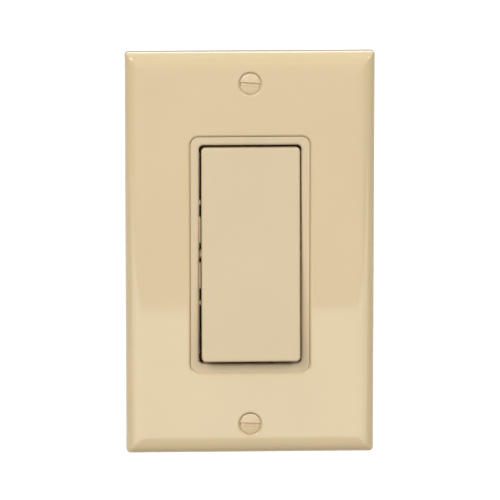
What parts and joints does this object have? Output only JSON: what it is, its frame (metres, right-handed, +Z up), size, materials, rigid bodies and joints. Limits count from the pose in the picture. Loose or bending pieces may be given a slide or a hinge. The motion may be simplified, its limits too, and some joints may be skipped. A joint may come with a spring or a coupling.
{
  "type": "decorator wall switch",
  "caption": "Ivory single-gang wall switch with a large rocker in a slim frame, a cover plate, and the strap, switch body, contacts and terminals behind it.",
  "frame": {"origin": "centre of the device on the wall surface, where the plate's rim and the strap's ears rest", "axes": "+X to the right, +Y into the wall, +Z up; the rocker faces -Y"},
  "size_m": [0.0698, 0.0339, 0.1142],
  "materials": {
    "ivory_plate": "smooth semi-gloss ivory thermoplastic",
    "ivory_frame": "satin ivory thermoplastic",
    "ivory_rocker": "fine-textured ivory thermoplastic",
    "ivory_paint": "ivory paint on steel",
    "zinc_strap": "galvanised sheet steel",
    "zinc_screw": "zinc-plated steel",
    "green_screw": "green-dyed zinc plating",
    "brass_strip": "stamped brass",
    "brass_screw": "brass-plated steel",
    "copper_strip": "copper-alloy spring strip",
    "silver_contact": "silver alloy",
    "spring_steel": "drawn spring wire",
    "acetal": "natural acetal",
    "body_plastic": "moulded dark thermoset",
    "black_rubber": "soft rubber",
    "fibre": "pressed fibre board"
  },
  "bodies": {
    "device": {"wall_plate": "ivory_plate", "plate_screw_top": "ivory_paint", "plate_screw_bottom": "ivory_paint", "mounting_strap": "zinc_strap", "mounting_screw_top": "zinc_screw", "mounting_screw_bottom": "zinc_screw", "screw_retainer_top": "fibre", "screw_retainer_bottom": "fibre", "ground_screw": "green_screw", "front_frame": "ivory_frame", "rocker_bumper_top": "black_rubber", "rocker_bumper_bottom": "black_rubber", "fixed_contact": "silver_contact", "line_terminal": "brass_strip", "load_terminal": "brass_strip", "line_clamp_plate": "zinc_screw", "load_clamp_plate": "zinc_screw", "line_terminal_screw": "brass_screw", "load_terminal_screw": "brass_screw", "rear_body": "body_plastic", "arm_stop_pad": "black_rubber", "case_screw_top_left": "zinc_screw", "case_screw_top_right": "zinc_screw", "case_screw_bottom_left": "zinc_screw", "case_screw_bottom_right": "zinc_screw"},
    "rocker": {"rocker": "ivory_rocker", "plunger_spring": "spring_steel"},
    "plunger": {"plunger": "acetal"},
    "contact_arm": {"contact_arm": "copper_strip", "moving_contact": "silver_contact"}
  },
  "joints": [
    {"name": "rocker_tilt", "type": "hinge", "parent": "device", "child": "rocker", "pos_m": [0, -0.0028, 0], "axis": [1, 0, 0], "range_deg": [0, 8.4]},
    {"name": "plunger_slide", "type": "slide", "parent": "rocker", "child": "plunger", "axis": [0, -0.9973, 0.0732], "range_m": [0, 0.001], "stiffness_N_per_m": 800, "springref_m": -0.002, "deforming": ["plunger_spring"]},
    {"name": "contact_arm_swing", "type": "hinge", "parent": "device", "child": "contact_arm", "pos_m": [0, 0.0155, 0], "axis": [1, 0, 0], "range_deg": [-14, 0]}
  ],
  "couplings": [
    {"joint": "contact_arm_swing", "follows": "rocker_tilt", "ratio": -1.6666}
  ]
}
